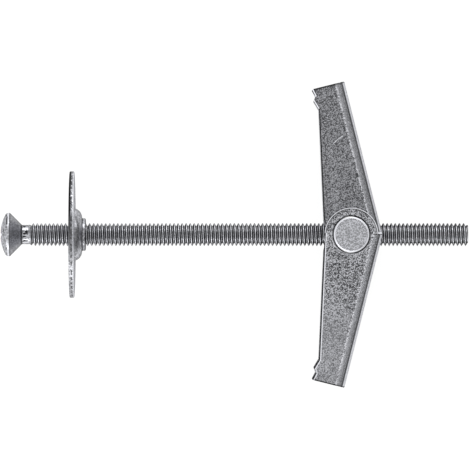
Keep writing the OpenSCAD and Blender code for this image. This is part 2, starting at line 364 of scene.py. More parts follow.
# %% Join head and thread
for face in [f for f in head_bm.faces if all(abs(v.co.x - thread_x) < TINY for v in f.verts)]:
    head_bm.faces.remove(face)
head_mesh = bpy.data.meshes.new("head")
head_bm.to_mesh(head_mesh)
head_bm.free()
screw_bm.from_mesh(head_mesh)
bpy.data.meshes.remove(head_mesh)
bmesh.ops.remove_doubles(screw_bm, verts=screw_bm.verts, dist=NECK_WELD)
ends = [e for e in screw_bm.edges if e.is_boundary]
closed = bmesh.ops.holes_fill(screw_bm, edges=ends, sides=0)
screw = as_piece(smooth_object("screw_m4", screw_bm), "screw", "screw_plating", "screw")
print("faces closing the free end:", len(closed["faces"]))

# %% [markdown]
# ## Washer
# The washer is pressed from sheet. Its middle is pushed out into a round boss that gives the countersunk
# head a seat, and the punched hole leaves a short collar. It could be a disc with a boss and a hole worked
# by Booleans, but those leave long thin faces, which show on shiny metal. One closed section makes it here:
# its sheared outer edge is sharper on the burr side, and the boss is an arc between the flat and the collar.
# Fine rings of quads keep it round from every side.

# %% Washer section
washer_x, washer_t, washer_r = -48.98, 0.8, 11.0
face_x = washer_x + washer_t
boss_r, boss_height, shoulder_r, collar_r, collar_height = 4.6, 1.35, 1.65, 2.825, 2.0
bore_r, seat_r = 2.175, 3.925
shoulder = Vector((boss_r - shoulder_r, face_x + boss_height - shoulder_r))
low_turn = math.asin((face_x - shoulder.y) / shoulder_r)
SHOULDER_STEPS, WASHER_SIDES = 16, 160
boss = []
for k in range(SHOULDER_STEPS + 1):
    turn = low_turn + (math.pi / 2 - low_turn) * k / SHOULDER_STEPS
    spoke = shoulder_r * Vector((math.cos(turn), math.sin(turn)))
    boss.append((*(shoulder + spoke), 0 if k else 0.12))
washer_section = rounded([
    (seat_r, washer_x, 0.12), (washer_r, washer_x, 0.14), (washer_r, face_x, 0.1), *boss,
    (collar_r, face_x + boss_height, 0.1), (collar_r, face_x + collar_height, 0.22),
    (bore_r, face_x + collar_height, 0.1), (bore_r, washer_x + seat_r - bore_r, 0.06),
], steps=6)
washer_bm = bmesh.new()
spun(washer_bm, washer_section, WASHER_SIDES, closed=True)
washer = as_piece(smooth_object("washer_pressed", washer_bm), "washer", "washer_plating", "washer")

# %% [markdown]
# ## Trunnion nut
# The nut is a short turned pin with a tapped hole through its middle. The wings turn on its two ends. The
# pin is spun along the pivot with small chamfers at its ends. Two round shapes that cross meet in a saddle
# that no simple grid of quads follows, so the hole is cut with a Boolean. The cutter widens at both mouths,
# because a tapped hole is countersunk so that its thread starts cleanly.

# %% Nut
nut_r, nut_half, nut_chamfer, hole_r, nut_mouth = 3.075, 5.5, 0.24, 2.025, 0.3
NUT_SIDES, HOLE_SIDES = 96, 64
chamfer_end = nut_half - 0.19
nut_corners = [
    (0, -nut_half, 0), (nut_r - nut_chamfer, -nut_half, 0.03), (nut_r, -chamfer_end, 0.06),
    (nut_r, chamfer_end, 0.06), (nut_r - nut_chamfer, nut_half, 0.03), (0, nut_half, 0),
]
nut_bm = bmesh.new()
spun(nut_bm, rounded(nut_corners, steps=6), NUT_SIDES)
moved(nut_bm, Matrix.Rotation(-math.pi / 2, 4, "Y"))
mouth, beyond = nut_r - nut_mouth, 4
wide = hole_r + beyond - mouth
hole_section = [(0, -beyond), (wide, -beyond), (hole_r, -mouth)]
hole_section += [(r, -x) for r, x in reversed(hole_section)]
hole_bm = bmesh.new()
spun(hole_bm, hole_section, HOLE_SIDES)
nut_bm = carved(nut_bm, [hole_bm])
nut = as_piece(smooth_object("nut_trunnion", nut_bm), "nut", "nut_plating", "trunnion_nut")

# %% [markdown]
# ## Wings
# Each wing is pressed from sheet: a blank is sheared to shape, pierced and folded into a channel. It is
# drawn upright, with X towards its back web and Y along it from the pivot. The folded sheet comes first, as
# one closed mesh: a channel with round bends that ends at a slanting stop, and two flat plates that go on
# below it for the ears. A flat sheet with a Solidify modifier would be quicker, but drawing both skins keeps
# a true radius on both sides of each bend and leaves room for a slit between the bend and its ear. The
# outline, the pivot hole and the notch are then punched out of it.

# %% Wing sizes
wing_length, wing_t, wing_width, wing_back, ear_r, bend_r = 26.1, 0.8, 9.5, 5.25, 4.65, 1.55
wing_lean, wing_taper = math.radians(14), math.radians(11.4)
tooth_pitch, tooth_depth, lap_clear, pivot_clear, notch_clear = 2.05, 0.5, 0.1, 0.08, 0.625
flat_x, bend_in_r, lap_shift = wing_back - bend_r, bend_r - wing_t, (wing_t + lap_clear) / 2
small_ear_r = flat_x + math.sqrt(bend_in_r**2 - (bend_in_r - lap_clear) ** 2) - lap_clear
half, inner, past = wing_width / 2, wing_width / 2 - wing_t, 20
print(f"ears of radius {ear_r} and {small_ear_r:.3f} mm")


def stop_y(x):
    """Where the web ends, because the other wing's web stops it there."""
    return (lap_clear / 2 - x * math.sin(wing_lean)) / math.cos(wing_lean)


def plate_end(ear):
    """How far back an ear's plate goes below the stop: a little less than its round edge does."""
    crossing = lap_clear / 2 * math.sin(wing_lean)
    crossing += math.cos(wing_lean) * math.sqrt(ear**2 - lap_clear**2 / 4)
    return crossing - 0.02


# %% Folded sheet
BEND_STEPS, SLIT = 12, 0.1


def bend_arc(radius, side):
    """Points (x, z) of one bend, from the panel to the web."""
    turns = [math.pi / 2 * k / BEND_STEPS for k in range(BEND_STEPS + 1)]
    centre_z = half - bend_r
    return [(flat_x + radius * math.sin(t), side * (centre_z + radius * math.cos(t))) for t in turns]


def folded_sheet():
    """The channel above the stop and a plate below it on each side; a slit parts each bend from its ear."""
    bm = bmesh.new()
    skins = [bend_arc(r, 1) + bend_arc(r, -1)[::-1] for r in (bend_r, bend_in_r)]
    skins = [[(-past, points[0][1]), *points, (-past, points[-1][1])] for points in skins]
    foot = [[bm.verts.new((x, stop_y(x), z)) for x, z in points] for points in skins]
    top = [[bm.verts.new((x, wing_length, z)) for x, z in points] for points in skins]
    for low, upper in zip(foot, top):
        for k in range(len(low) - 1):
            bm.faces.new((low[k], low[k + 1], upper[k + 1], upper[k]))
    bm.faces.new(top[0] + top[1][::-1])
    bm.faces.new(foot[0][1:-1] + foot[1][1:-1][::-1])
    for i, ear in ((0, small_ear_r), (-1, ear_r)):
        plate_x, k = plate_end(ear), 1 if i == 0 else -2
        slit = [(x, stop_y(x) - SLIT) for x in (flat_x, plate_x)]
        sides = []
        for low, z in ((foot[0], skins[0][i][1]), (foot[1], skins[1][i][1])):
            deep = [bm.verts.new((x, y, z)) for x, y in (*slit, (plate_x, -past), (-past, -past))]
            sides.append([low[i], low[k], *deep])
            bm.faces.new(sides[-1])
        for n in range(1, 5):
            bm.faces.new((sides[0][n], sides[0][n + 1], sides[1][n + 1], sides[1][n]))
        bm.faces.new((sides[0][5], sides[0][0], top[0][i], top[1][i], sides[1][0], sides[1][5]))
    return bm


# %% [markdown]
# The corners of the outline have names, since the punch cuts along them and the finish draws its lines
# beside them: the corner at the tip, two teeth with a notch between them, and the slanting front edge that
# runs from the foot of the teeth to the round ear.

# %% Punches
PUNCH_STEPS, NOTCH_SIDES, PIVOT_SIDES = 96, 80, 120
WING_WELD, FLAT_WITHIN = 6e-3, math.radians(1)
edge_normal = Vector((-math.cos(wing_taper), math.sin(wing_taper)))
tooth_y = wing_length - tooth_pitch
foot_y, notch_y = tooth_y - 0.8 * tooth_pitch, tooth_y + 0.36 * tooth_pitch
foot_x = (ear_r - foot_y * edge_normal.y) / edge_normal.x
tip_corner = Vector((foot_x - 0.6 * tooth_depth, wing_length))
tooth_notch, tooth_tip, tooth_foot = [
    Vector(corner) for corner in ((foot_x, notch_y), (foot_x - tooth_depth, tooth_y), (foot_x, foot_y))
]


def outline_punch(ear, low, upper):
    """All that lies in front of and below a side panel: teeth, front edge and the round ear."""
    teeth = [tooth_notch + 1.5 * (tip_corner - tooth_notch), tooth_notch, tooth_tip, tooth_foot]
    front = [(-ear, (ear_r + ear * edge_normal.x) / edge_normal.y)] if ear < ear_r else []
    first = math.pi if ear < ear_r else math.pi - wing_taper
    last = 2 * math.pi - math.acos((plate_end(ear) + 0.004) / ear)
    turns = [first + (last - first) * k / PUNCH_STEPS for k in range(PUNCH_STEPS + 1)]
    arc = [(ear * math.cos(t), ear * math.sin(t)) for t in turns]
    right, left, over_tip = wing_back + 1, -past - 1, 30
    outside = [(right, arc[-1][1] - 1), (right, left), (left, left), (left, over_tip)]
    return prism([*teeth, *front, *arc, *outside], low, upper)


def screw_notch():
    """Round-ended notch through the web; it lies off the wing's middle, on the screw."""
    notch_r, axis_y = crest_r + notch_clear, -(wing_back - wing_t) * math.tan(wing_lean)
    arc = circle_points(notch_r, NOTCH_SIDES)[:NOTCH_SIDES // 2 + 1]
    to_the_web = Matrix(((0, 0, 1), (0, 1, 0), (-1, 0, 0))).to_4x4()
    place = Matrix.Translation((0, axis_y, lap_shift)) @ to_the_web
    before_web, past_web = 1, 9
    return moved(prism([*arc, (-notch_r, -past_web), (notch_r, -past_web)], before_web, past_web), place)


hole = prism(circle_points(nut_r + pivot_clear, PIVOT_SIDES), -half - 1, half + 1)
punches = [
    outline_punch(small_ear_r, inner - 1, half + 1), outline_punch(ear_r, -half - 1, 1 - inner),
    hole, screw_notch(),
]
wing_bm = carved(folded_sheet(), punches)
bmesh.ops.remove_doubles(wing_bm, verts=wing_bm.verts, dist=WING_WELD)
bmesh.ops.dissolve_limit(wing_bm, angle_limit=FLAT_WITHIN, verts=wing_bm.verts, edges=wing_bm.edges)
print(f"wing as cut: {len(wing_bm.faces)} faces, {sum(not e.is_manifold for e in wing_bm.edges)} open edges")

# %% [markdown]
# The shears round every edge a little, apart from the narrow end of the slit, where a bevel has no room.
# Both wings are the same pressing: one leans by itself, and the other is turned half round about the screw.

# %% Round the sheared edges and set up both wings
slit_end = Vector((flat_x, stop_y(flat_x) - SLIT / 2))


def off_slit(edge):
    return all((v.co.xy - slit_end).length > 0.06 for v in edge.verts)


print("sheared edges rounded:", broken_edges(wing_bm, 0.12, segments=4, chosen=off_slit))
pressing = bpy.data.meshes.new("pressing")
wing_bm.to_mesh(pressing)
wing_bm.free()


def wing_piece(name, body, flip):
    """One wing: both are the same pressing, the lower one turned half round about the screw."""
    bm = bmesh.new()
    bm.from_mesh(pressing)
    lean = Matrix.Rotation(wing_lean, 4, "Z") @ Matrix.Translation((0, 0, -lap_shift))
    stand = Matrix.Rotation(math.radians(180), 4, "X") @ lean if flip else lean
    return as_piece(smooth_object(name, bm, stand), body, "wing_plating", body)


wings = [wing_piece("wing_upper", "upper_wing", False), wing_piece("wing_lower", "lower_wing", True)]
bpy.data.meshes.remove(pressing)

# %% [markdown]
# ## Spring
# The wire winds round the nut on both sides of the screw, a bridge carries it over, and a straight leg
# pushes each wing open. When a wing folds, its leg and last half turn go with it while the middle stays on
# the nut, so the wire is built in three lengths from one path: each is a tube swept along its own stretch.
# A curve with a round bevel would look the same. Rings laid one by one give a closed mesh at once, and they
# keep the same twist, so that the lengths match where they meet.

# %% Wire path
wire_r, coil_r, leg_length = 0.25, 3.85, 10.0
coil_pitch, coil_in_z, bridge_turn = 0.51, 2.275, 80.0
leg_reach = wing_back - wing_t - wire_r - 0.05
leg_splay = math.atan2(leg_length, coil_r) - math.acos(leg_reach / math.hypot(coil_r, leg_length))
leg_turn = math.degrees(wing_lean - leg_splay)
near_turns = leg_turn - 90 + 720 - bridge_turn / 2
far_turns = 3 * 360 + 2 * leg_turn - near_turns - bridge_turn
near_z = coil_in_z + coil_pitch * near_turns / 360
far_z = coil_in_z + coil_pitch * far_turns / 360
winding = near_turns + bridge_turn + far_turns


def coil_point(turn):
    """Point on the wire's middle line after some degrees: near coils, bridge over the screw, far coils."""
    if turn < near_turns:
        z = coil_pitch * turn / 360 - near_z
    elif turn > near_turns + bridge_turn:
        z = coil_in_z + coil_pitch * (turn - near_turns - bridge_turn) / 360
    else:
        z = -coil_in_z * math.cos(math.pi * (turn - near_turns) / bridge_turn)
    angle = math.radians(leg_turn - turn)
    return Vector((coil_r * math.cos(angle), coil_r * math.sin(angle), z))


def leg_point(side, share):
    """Point on a straight leg, from its coil (0) to its tip (1); side is 1 for the upper wing, else -1."""
    angle = math.radians(leg_turn)
    length = leg_length * share
    x = coil_r * math.cos(angle) - length * math.sin(angle)
    y = coil_r * math.sin(angle) + length * math.cos(angle)
    return Vector((x, side * y, -near_z if side > 0 else far_z))


print(f"spring: {winding / 360:.2f} turns, legs at z {-near_z:.2f} and {far_z:.2f} mm")

# %% Sweep the wire in three lengths
WIRE_SIDES, DEGREES_A_RING = 14, 6


def swept(points, radius):
    """A round tube along points, closed at both ends."""
    bm = bmesh.new()
    rings = []
    for i, p in enumerate(points):
        along = (points[min(i + 1, len(points) - 1)] - points[max(i - 1, 0)]).normalized()
        side = Vector((0, 0, 1)).cross(along).normalized()
        up = along.cross(side)
        rings.append([bm.verts.new(p + a * side + b * up) for a, b in circle_points(radius, WIRE_SIDES)])
    for a, b in zip(rings, rings[1:]):
        for k in range(WIRE_SIDES):
            n = (k + 1) % WIRE_SIDES
            bm.faces.new((a[k], a[n], b[n], b[k]))
    bm.faces.new(rings[0])
    bm.faces.new(rings[-1])
    return bm


def turns_between(start, end):
    count = max(2, round((end - start) / DEGREES_A_RING))
    return [coil_point(start + (end - start) * k / count) for k in range(count + 1)]


LOOSE_TURN, LEG_STEPS = 200, 12
upper_leg = [leg_point(1, 1 - k / LEG_STEPS) for k in range(LEG_STEPS)]
lower_leg = [leg_point(-1, k / LEG_STEPS) for k in range(1, LEG_STEPS + 1)]
lengths = [
    ("spring_upper_leg", "upper_wing", upper_leg + turns_between(0, LOOSE_TURN)),
    ("spring_coils", "nut", turns_between(LOOSE_TURN, winding - LOOSE_TURN)),
    ("spring_lower_leg", "lower_wing", turns_between(winding - LOOSE_TURN, winding) + lower_leg),
]
springs = [
    as_piece(smooth_object(name, swept(points, wire_r)), body, "spring_wire", "spring")
    for name, body, points in lengths
]

# %% [markdown]
# ## Finishes
# Zinc plating looks mottled up close: crystals of slightly different brightness, clusters of small dark
# pits, and a few bright flecks. Where edges have rubbed, the metal is brighter, and corners get painted
# shade.
# These effects are shared by all the pieces, so each is a node group with its own inputs. A small helper
# adds a node, sets its values and links its inputs in one line. The others are built on it: sums, masks
# between two values, thin lines and noise.

# %% Node helpers
def feed(tree, socket, value):
    """Links an input to another node's output, or sets it to a plain value."""
    if isinstance(value, bpy.types.NodeSocket):
        tree.links.new(value, socket)
    else:
        socket.default_value = value


def put(tree, kind, links=None, **settings):
    """Adds a node; links maps input names or numbers to values or to other nodes' outputs."""
    node = tree.nodes.new(kind)
    for key, value in settings.items():
        setattr(node, key, value)
    for key, value in (links or {}).items():
        feed(tree, node.inputs[key], value)
    return node


def calc(tree, operation, a, b=0.0, clamp=False):
    return put(tree, "ShaderNodeMath", {0: a, 1: b}, operation=operation, use_clamp=clamp).outputs[0]


def times(tree, first, *others):
    """Masks and shares multiplied with each other."""
    for other in others:
        first = calc(tree, "MULTIPLY", first, other)
    return first


def rest_of(tree, mask):
    """Everywhere that a mask leaves out."""
    return calc(tree, "SUBTRACT", 1.0, mask)


def hypot(tree, a, b):
    """Distance from the origin, from two coordinates."""
    return calc(tree, "SQRT", calc(tree, "ADD", calc(tree, "POWER", a, 2.0), calc(tree, "POWER", b, 2.0)))


# %% Masks and mixes
def between(tree, value, low, high, to_low=0.0, to_high=1.0):
    """Maps a value from one span to another, smoothly and without running over."""
    links = {"Value": value, "From Min": low, "From Max": high, "To Min": to_low, "To Max": to_high}
    return put(tree, "ShaderNodeMapRange", links, interpolation_type="SMOOTHSTEP").outputs["Result"]


def within(tree, value, start, end, soft):
    """A mask that is 1 from start to end and fades out over a soft border on both sides."""
    return times(tree, between(tree, value, start - soft, start), between(tree, value, end + soft, end))


def line_at(tree, value, middle, outer, inner, share=1.0):
    """A thin line round a value: whole up to inner away from its middle, and gone at outer."""
    off = calc(tree, "ABSOLUTE", calc(tree, "SUBTRACT", value, middle))
    return between(tree, off, outer, inner, 0.0, share)


def reach(tree, place, direction):
    """How far a place lies along a direction."""
    links = {0: place, 1: direction}
    return put(tree, "ShaderNodeVectorMath", links, operation="DOT_PRODUCT").outputs["Value"]


def noise(tree, place, scale, detail):
    links = {"Vector": place, "Scale": scale, "Detail": detail}
    return put(tree, "ShaderNodeTexNoise", links).outputs["Fac"]


def blend(tree, share, a, b):
    """Mixes two numbers."""
    return put(tree, "ShaderNodeMix", {0: share, 2: a, 3: b}).outputs[0]


def tinted(tree, share, a, b):
    """Mixes two colours."""
    return put(tree, "ShaderNodeMix", {0: share, 6: a, 7: b}, data_type="RGBA").outputs[2]


# %% Groups
def new_group(name, inputs, outputs):
    """An empty node group; sockets without a value are vectors, and the others are numbers."""
    tree = bpy.data.node_groups.new(name, "ShaderNodeTree")
    for socket, value in inputs.items():
        kind = "NodeSocketVector" if value is None else "NodeSocketFloat"
        made = tree.interface.new_socket(socket, in_out="INPUT", socket_type=kind)
        if value is not None:
            made.default_value = value
    for socket in outputs:
        tree.interface.new_socket(socket, in_out="OUTPUT", socket_type="NodeSocketFloat")
    return tree, tree.nodes.new("NodeGroupInput").outputs


def finish_group(tree, results):
    put(tree, "NodeGroupOutput", results)
    print(f"group {tree.name}: {len(tree.nodes)} nodes")
    return tree


# %% [markdown]
# The mottle has two sizes. Voronoi cells of random brightness are the zinc crystals, and a noise a little
# broader than they are gathers them in clumps. A much wider noise makes cloudy patches, and the pits
# crowd where a patch is dark. Pits and flecks are dots in a few cells of other Voronoi patterns.

# %% Zinc mottle: crystals, clouds, pits and flecks
def sparse_dots(tree, place, scale, share, size):
    """Round dots in a share of the cells of a Voronoi pattern."""
    cells = put(tree, "ShaderNodeTexVoronoi", {"Vector": place, "Scale": scale})
    chosen = put(tree, "ShaderNodeSeparateColor", {0: cells.outputs["Color"]}).outputs[0]
    chosen = calc(tree, "LESS_THAN", chosen, share)
    return times(tree, chosen, between(tree, cells.outputs["Distance"], size, size * 0.5))


CLUMP_SCALE, PIT_SCALE, FLECK_SCALE, PATCHES_PER_MM = 0.7, 0.8, 0.6, 0.3
tree, given = new_group(
    "zinc mottle",
    {"Vector": None, "Grain per mm": 5.0, "Contrast": 1.0, "Clouds": 0.3, "Pits": 0.2, "Flecks": 0.05},
    ["Tone", "Pit mask", "Fleck mask", "Height"],
)
place, grain = given["Vector"], given["Grain per mm"]
crystals = put(tree, "ShaderNodeTexVoronoi", {"Vector": place, "Scale": grain})
crystal = put(tree, "ShaderNodeSeparateColor", {0: crystals.outputs["Color"]}).outputs[0]
crystal = calc(tree, "SUBTRACT", crystal, 0.5)
clumps = noise(tree, place, times(tree, grain, CLUMP_SCALE), 2.0)
patches = noise(tree, place, PATCHES_PER_MM, 2.0)
grains = calc(tree, "ADD", crystal, between(tree, clumps, 0.34, 0.66, -0.28, 0.28))
patch = between(tree, patches, 0.35, 0.65, -0.5, 0.5)
tone = calc(tree, "ADD", times(tree, grains, given["Contrast"]), times(tree, patch, given["Clouds"]))
tone = calc(tree, "ADD", tone, 0.5, clamp=True)
crowded = times(tree, given["Pits"], between(tree, patches, 0.6, 0.4, 0.4, 1.6))
pit_mask = sparse_dots(tree, place, times(tree, grain, PIT_SCALE), crowded, 0.45)
fleck_mask = sparse_dots(tree, place, times(tree, grain, FLECK_SCALE), given["Flecks"], 0.4)
height = calc(tree, "SUBTRACT", grains, pit_mask)
mottle = finish_group(tree, {"Tone": tone, "Pit mask": pit_mask, "Fleck mask": fleck_mask, "Height": height})

# %% [markdown]
# Rubbed edges and corners darkened with painted shade both come from the shape itself. Blender's Ambient
# Occlusion node measures how closed a spot is. Looked at from inside the metal it finds outer edges, and
# from outside it finds corners, which are darkened as painted shade. The raw closeness of an edge is put out
# too: a finish can pick a band of it, and so draw a line at a given distance from every edge.

# %% Wear and painted corner shade
tree, given = new_group(
    "wear and grime", {"Vector": None, "Edge mm": 0.2, "Corner mm": 1.0}, ["Edge", "Worn", "Painted shade"],
)
near_edge, near_corner = [{"Distance": times(tree, given[key], MM)} for key in ("Edge mm", "Corner mm")]
edges = put(tree, "ShaderNodeAmbientOcclusion", near_edge, inside=True, only_local=True, samples=16)
corners = put(tree, "ShaderNodeAmbientOcclusion", near_corner, samples=8)
uneven = noise(tree, given["Vector"], 2.2, 3.0)
edge = rest_of(tree, edges.outputs["AO"])
worn = times(tree, edge, between(tree, uneven, 0.3, 0.7, 0.5, 1.3))
# Painted shade: corners that the Ambient Occlusion finds closed, broken up a little.
painted_corner_shade = times(tree, rest_of(tree, corners.outputs["AO"]), between(tree, uneven, 0.3, 0.65, 0.6, 1.2))
wear = finish_group(
    tree, {"Edge": edge, "Worn": between(tree, worn, 0.1, 0.5), "Painted shade": between(tree, painted_corner_shade, 0.25, 0.85)},
)

# %% [markdown]
# The metal itself is one recipe with different numbers: base tones, roughness, how mottled and how worn.
# The recipe keeps its sockets in a small record, so that a piece can add what only it has, such as painted
# shade in its grooves or lines beside its sheared edges, before the shader is connected. Each such mark is a
# cover: a mask, a grey, and where it needs them a roughness and a lower Metallic, as chalky zinc and the
# painted highlights have.

# %% Zinc-plated metal
ZINC_TINT = (0.975, 0.985, 1.04)
# How pits darken and roughen the metal, how flecks and rubbed edges brighten it, and the painted corner
# shade.
PIT_DARK, PIT_ROUGH, FLECK_LIGHT, WORN_LIGHT, CORNER_SHADE_SHARE = 0.45, 0.2, 1.5, 1.3, 0.8
BUMP_DEPTH = 0.03 * MM


def grey(level):
    """A grey with the faint blue of zinc."""
    return tuple(level * share for share in ZINC_TINT) + (1,)


class Metal:
    """A zinc-plated metal under way: its node tree and the sockets that lead to the shader."""

    def __init__(self, name, light, dark, roughness, zinc, worn=1.0):
        self.material = bpy.data.materials.new(name)
        self.material.use_nodes = True
        self.tree = tree = self.material.node_tree
        self.place = put(tree, "ShaderNodeAttribute", attribute_name="drawn").outputs["Vector"]
        parts = put(tree, "ShaderNodeSeparateXYZ", {0: self.place}).outputs
        self.x, self.y, self.z = parts["X"], parts["Y"], parts["Z"]
        self.zinc = put(tree, "ShaderNodeGroup", {"Vector": self.place, **zinc}, node_tree=mottle)
        self.wear = put(tree, "ShaderNodeGroup", {"Vector": self.place}, node_tree=wear)
        self.light, self.worn = light, worn
        self.tone, pits = self.zinc.outputs["Tone"], self.zinc.outputs["Pit mask"]
        colour = tinted(tree, self.tone, grey(dark), grey(light))
        colour = tinted(tree, pits, colour, grey(dark * PIT_DARK))
        fleck = grey(min(1.0, light * FLECK_LIGHT))
        self.colour = tinted(tree, self.zinc.outputs["Fleck mask"], colour, fleck)
        self.roughness = calc(tree, "ADD", roughness, times(tree, pits, PIT_ROUGH))
        self.metallic = 1.0

    def steer(self, socket, value):
        """Lets a value that changes over the surface set an input of the mottle."""
        feed(self.tree, self.zinc.inputs[socket], value)

    def cover(self, share, colour, roughness=None, metallic=None):
        """Lays another tone over the metal where a mask says so."""
        self.colour = tinted(self.tree, share, self.colour, colour)
        if roughness is not None:
            self.roughness = blend(self.tree, share, self.roughness, roughness)
        if metallic is not None:
            self.metallic = blend(self.tree, share, self.metallic, metallic)

    def done(self, bump):
        """Adds wear and painted shade in corners, and connects the shader."""
        tree, shader = self.tree, self.tree.nodes["Principled BSDF"]
        brightened = grey(min(1.0, self.light * WORN_LIGHT))
        self.cover(times(tree, self.wear.outputs["Worn"], self.worn), brightened)
        # Painted shade: a dark grey laid over the closed corners.
        self.cover(times(tree, self.wear.outputs["Painted shade"], CORNER_SHADE_SHARE), grey(0.03), 0.6)
        relief = {"Height": self.zinc.outputs["Height"], "Strength": bump, "Distance": BUMP_DEPTH}
        feed(tree, shader.inputs["Base Color"], self.colour)
        feed(tree, shader.inputs["Roughness"], self.roughness)
        feed(tree, shader.inputs["Metallic"], self.metallic)
        feed(tree, shader.inputs["Normal"], put(tree, "ShaderNodeBump", relief).outputs[0])
        print(f"{self.material.name}: {len(tree.nodes)} nodes")
        return self.material


# %% [markdown]
# The screw's head is struck cold, so its dome is dented. A painted highlight runs along its rim, strongest
# on both sides of its middle, and two dark marks at the rim are painted shade for the shadowed ends of the
# slot. The cone below is drawn duller and darker, with a painted shadow under the rim and a dark ring in the
# corner where it meets the neck. The neck is drawn smooth, with long dark marks. All of these follow from
# the place on the screw, so masks on its coordinates make them.

# %% Screw finish: head and neck
def mark_dome(metal):
    """A coarser, duller mottle with dents, a painted highlight along the rim, and painted shade for the
    slot.
    """
    tree = metal.tree
    on_dome = between(tree, metal.x, rim_x - 0.1, rim_x - 0.2)
    metal.steer("Contrast", between(tree, on_dome, 0.0, 1.0, 1.0, 2.4))
    metal.roughness = blend(tree, on_dome, metal.roughness, 0.5)
    metal.cover(times(tree, on_dome, 0.3), grey(0.28))
    dents = sparse_dots(tree, metal.place, scale=1.5, share=0.7, size=0.45)
    metal.cover(times(tree, on_dome, dents, 0.75), grey(0.03), 0.6)
    off_middle = between(tree, calc(tree, "ABSOLUTE", metal.y), 0.6, 1.8, 0.2, 0.9)
    # Painted highlight: a pale line along the rim, stronger on both sides of its middle.
    lip = times(tree, within(tree, metal.x, rim_x - 0.1, rim_x + 0.12, 0.06), off_middle)
    metal.cover(lip, grey(0.97), 0.35, metallic=0.25)
    # Painted shade: two dark marks at the rim stand for the shadowed ends of the slot.
    for start, end, low, level in ((-0.24, -0.08, 1.8, 0.02), (-0.88, -0.74, 2.65, 0.04)):
        stretch = within(tree, metal.x, rim_x + start, rim_x + end, 0.05)
        painted_slot_shade = times(tree, stretch, within(tree, metal.y, low, 3.1, 0.1), between(tree, metal.z, 0.0, 0.3))
        metal.cover(painted_slot_shade, grey(level), 0.5)


def mark_cone(metal):
    """Rings round the cone: start, end, softness, share, grey and roughness."""
    rings = {
        "shadow under the rim": (rim_x + 0.2, cone_x + 0.12, 0.05, 0.7, 0.05, 0.4),
        "dull cone": (cone_x + 0.2, neck_x - 0.1, 0.1, 0.55, 0.22, 0.35),
        "pale foot": (neck_x - 0.44, neck_x - 0.34, 0.08, 0.35, 0.6, 0.35),
        "dark ring in the corner": (neck_x - 0.14, neck_x + 0.08, 0.08, 0.85, 0.03, 0.4),
    }
    for start, end, soft, share, level, roughness in rings.values():
        ring = within(metal.tree, metal.x, start, end, soft)
        metal.cover(times(metal.tree, ring, share), grey(level), roughness)


def mark_neck(metal):
    """A bright drawn surface with dark marks that run along it."""
    tree = metal.tree
    neck = within(tree, metal.x, neck_x + 0.25, thread_x - 0.1, 0.12)
    metal.cover(times(tree, neck, 0.7), grey(0.95), 0.14)
    stretched = {0: metal.place, 1: (0.9, 2.4, 2.4)}
    stretched = put(tree, "ShaderNodeVectorMath", stretched, operation="MULTIPLY").outputs[0]
    marks = between(tree, noise(tree, stretched, 1.0, 1.0), 0.48, 0.54)
    metal.cover(times(tree, neck, marks), grey(0.05), 0.2)


# %% [markdown]
# The screw's flanks are drawn dark, as painted shade deep in the grooves, and only the crests and a little
# of the root stay bright. How far a spot lies from the axis tells crest, flank and root apart. More painted
# shade darkens both sides of the screw, where the place across it is largest.

# %% Screw finish: thread
def mark_thread(metal):
    tree, from_axis = metal.tree, hypot(metal.tree, metal.y, metal.z)
    on_thread = between(tree, metal.x, thread_x, thread_x + 0.8)
    metal.cover(times(tree, on_thread, 0.6), grey(0.95))
    # Painted shade on the flanks of the grooves.
    below_crest = between(tree, from_axis, crest_r - 0.03, crest_r - 0.1)
    above_root = between(tree, from_axis, root_r, root_r + 0.06, 0.35, 1.0)
    metal.cover(times(tree, below_crest, above_root, on_thread, 0.92), grey(0.05), 0.35)
    # Painted shade along both sides of the screw.
    sides = between(tree, calc(tree, "ABSOLUTE", metal.y), 1.35, 1.6, 0.0, 0.45)
    metal.cover(times(tree, on_thread, sides), grey(0.04), 0.4)


def screw_finish():
    zinc = {"Grain per mm": 5.0, "Contrast": 1.0, "Clouds": 0.2, "Pits": 0.14, "Flecks": 0.04}
    metal = Metal("screw plating", light=0.88, dark=0.34, roughness=0.22, zinc=zinc)
    for mark in (mark_dome, mark_cone, mark_neck, mark_thread):
        mark(metal)
    return metal.done(bump=0.5)


screw_plating = screw_finish()

# %% [markdown]
# A sheared edge has two bands: the punch rolls and burnishes the first part, and the rest tears off dark
# and rough, with a broken line between them. On the washer the distance from the axis and the station along
# it tell the bands apart, and painted shade makes the torn band darker on the rim's upper half. Its flat
# face is chalky white zinc with little shine, its boss is darker, with painted shade growing towards its
# top, and dark lines are drawn in the seam at the collar's foot and on its lip.

# %% Washer finish
def mark_rim(metal, from_axis):
    """The torn band of the outer edge, with painted shade on its upper half, and the broken line beside it.
    """
    tree = metal.tree
    rim = between(tree, from_axis, washer_r - 0.16, washer_r - 0.1)
    torn = between(tree, metal.x, washer_x + 0.42, washer_x + 0.34)
    # Painted shade: the torn band is darker on the rim's upper half.
    upper = between(tree, metal.y, -2.5, 1.5, 0.25, 1.0)
    metal.cover(times(tree, rim, torn, upper), grey(0.02), 0.6)
    middle = between(tree, calc(tree, "ABSOLUTE", metal.y), 4.5, 2.0)
    metal.cover(times(tree, rim, middle, 0.55), grey(0.2))
    torn_line = line_at(tree, metal.x, washer_x + 0.5, 0.12, 0.06, 0.9)
    breaks = between(tree, noise(tree, metal.place, 1.3, 1.0), 0.46, 0.51)
    metal.cover(times(tree, rim, torn_line, breaks), grey(0.03), 0.5)


